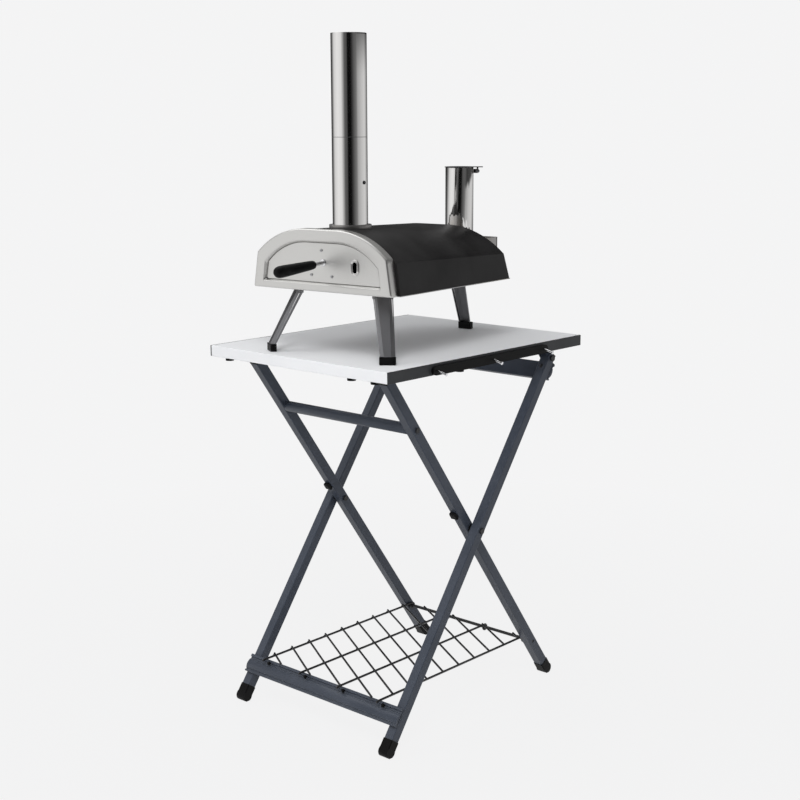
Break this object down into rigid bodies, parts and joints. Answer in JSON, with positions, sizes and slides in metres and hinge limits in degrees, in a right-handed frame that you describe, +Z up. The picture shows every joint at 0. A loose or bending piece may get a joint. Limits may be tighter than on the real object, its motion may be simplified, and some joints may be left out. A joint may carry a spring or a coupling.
{
  "type": "outdoor pizza oven table",
  "caption": "Folding X-leg outdoor table with a white top, wire shelf and tool hooks, carrying a portable pellet pizza oven with chimney, fuel hopper and lift-off door",
  "frame": {"origin": "on the floor under the middle of the whole object's box", "axes": "+Z up, +X to the side with the tool hooks, -Y to the front, where the oven's door is"},
  "size_m": [0.6082, 0.8308, 1.613],
  "materials": {
    "top_laminate": "smooth white laminate with a faint satin sheen",
    "edge_trim": "satin charcoal edge strip",
    "frame_coat": "semi-gloss blue-black powder coat",
    "black_plastic": "fine-grained black moulding",
    "wire_coat": "satin black coated wire",
    "black_fastener": "black oxide steel",
    "zinc_fastener": "bright zinc plate",
    "bright_hook": "bright chrome",
    "brushed_steel": "fine brushed stainless sheet",
    "polished_steel": "near-mirror rolled stainless tube",
    "shell_black": "matte black heat-proof powder coat",
    "sheet_steel": "plain mill-finish steel sheet",
    "dark_steel": "dark satin steel",
    "leg_grey": "grey metallic paint",
    "ceramic_wool": "white ceramic fibre blanket",
    "baking_stone": "dry porous pale stone"
  },
  "bodies": {
    "outer_frame": {"outer_leg_left": "frame_coat", "outer_leg_right": "frame_coat", "front_foot_rail": "frame_coat", "rear_top_rail": "frame_coat", "rail_screws": "black_fastener", "outer_foot_caps": "black_plastic", "outer_top_caps": "black_plastic", "pivot_bolts": "black_fastener", "pivot_nuts": "black_fastener", "pivot_spacers": "black_plastic", "top_hinge_pins": "black_fastener"},
    "inner_frame": {"inner_leg_left": "frame_coat", "inner_leg_right": "frame_coat", "inner_cross_tube": "frame_coat", "cross_tube_bolts": "black_fastener", "inner_foot_caps": "black_plastic", "inner_top_caps": "black_plastic", "shelf_hinge_rod": "wire_coat", "leg_clips": "black_plastic"},
    "tabletop": {"tabletop_panel": "top_laminate", "side_edge_strips": "edge_trim", "hinge_brackets": "frame_coat", "underside_screws": "black_fastener", "tabletop_bumpers": "black_plastic", "hook_rail": "black_plastic", "tool_hooks": "bright_hook"},
    "shelf": {"shelf_long_wires": "wire_coat", "shelf_cross_wires": "wire_coat"},
    "oven": {"oven_base_pan": "sheet_steel", "oven_shell": "shell_black", "insulation_blanket": "ceramic_wool", "chamber_liner": "sheet_steel", "front_bezel": "brushed_steel", "rear_cover": "sheet_steel", "baking_stone": "baking_stone", "stone_supports": "sheet_steel", "chimney_collar": "sheet_steel", "fuel_box": "sheet_steel", "hopper_tube": "polished_steel", "lid_hinge_bolt": "zinc_fastener", "leg_hinge_lugs": "sheet_steel", "leg_hinge_pins": "zinc_fastener"},
    "door": {"door_panel": "brushed_steel", "peephole_rim": "brushed_steel", "door_grip": "black_plastic", "handle_stud": "brushed_steel", "door_screws": "zinc_fastener"},
    "chimney": {"chimney_lower": "polished_steel", "chimney_upper": "polished_steel", "chimney_screw": "black_fastener"},
    "lid": {"hopper_lid": "dark_steel"},
    "fuel_drawer": {"fuel_tray": "sheet_steel", "hatch_plate": "sheet_steel", "hatch_handle": "dark_steel"},
    "oven_leg_left_body": {"oven_leg_left": "leg_grey", "oven_foot_left": "black_plastic"},
    "oven_leg_right_body": {"oven_leg_right": "leg_grey", "oven_foot_right": "black_plastic"},
    "oven_leg_rear_body": {"oven_leg_rear": "leg_grey", "oven_foot_rear": "black_plastic"}
  },
  "joints": [
    {"name": "fold", "type": "hinge", "parent": "outer_frame", "child": "inner_frame", "pos_m": [0, 0.0664, 0.465], "axis": [-1, 0, 0], "range_deg": [0, 60]},
    {"name": "tabletop_tilt", "type": "hinge", "parent": "outer_frame", "child": "tabletop", "pos_m": [-0.017, 0.33989, 0.847], "axis": [-1, 0, 0], "range_deg": [0, 33.7]},
    {"name": "shelf_tilt", "type": "hinge", "parent": "inner_frame", "child": "shelf", "pos_m": [-0.017, 0.3237, 0.10561], "axis": [-1, 0, 0], "range_deg": [0, 45.1]},
    {"name": "oven_lift", "type": "slide", "parent": "tabletop", "child": "oven", "axis": [0, 0, 1], "range_m": [0, 0.25]},
    {"name": "left_leg_fold", "type": "hinge", "parent": "oven", "child": "oven_leg_left_body", "pos_m": [-0.08735, -0.20443, 1.039], "axis": [0.8704, -0.4924, 0], "range_deg": [0, 105.1]},
    {"name": "right_leg_fold", "type": "hinge", "parent": "oven", "child": "oven_leg_right_body", "pos_m": [0.15155, -0.18143, 1.039], "axis": [0.7604, 0.6494, 0], "range_deg": [0, 105.1]},
    {"name": "rear_leg_fold", "type": "hinge", "parent": "oven", "child": "oven_leg_rear_body", "pos_m": [-0.01276, 0.27292, 1.039], "axis": [-0.9954, -0.0958, 0], "range_deg": [0, 105.1]},
    {"name": "door_slide", "type": "slide", "parent": "oven", "child": "door", "axis": [0.0958, -0.9954, 0], "range_m": [0, 0.12]},
    {"name": "lid_hinge", "type": "hinge", "parent": "oven", "child": "lid", "pos_m": [0.01999, 0.31269, 1.3], "axis": [-0.6626, 0.749, 0], "range_deg": [0, 110]},
    {"name": "drawer_slide", "type": "slide", "parent": "oven", "child": "fuel_drawer", "axis": [-0.0958, 0.9954, 0], "range_m": [0, 0.15]},
    {"name": "chimney_lift", "type": "slide", "parent": "oven", "child": "chimney", "axis": [0, 0, 1], "range_m": [0, 0.1]}
  ],
  "couplings": [
    {"joint": "tabletop_tilt", "follows": "fold", "ratio": 0.56},
    {"joint": "shelf_tilt", "follows": "fold", "ratio": 0.75},
    {"joint": "left_leg_fold", "follows": "oven_lift", "rad_per_m": 7.33},
    {"joint": "right_leg_fold", "follows": "oven_lift", "rad_per_m": 7.33},
    {"joint": "rear_leg_fold", "follows": "oven_lift", "rad_per_m": 7.33}
  ]
}
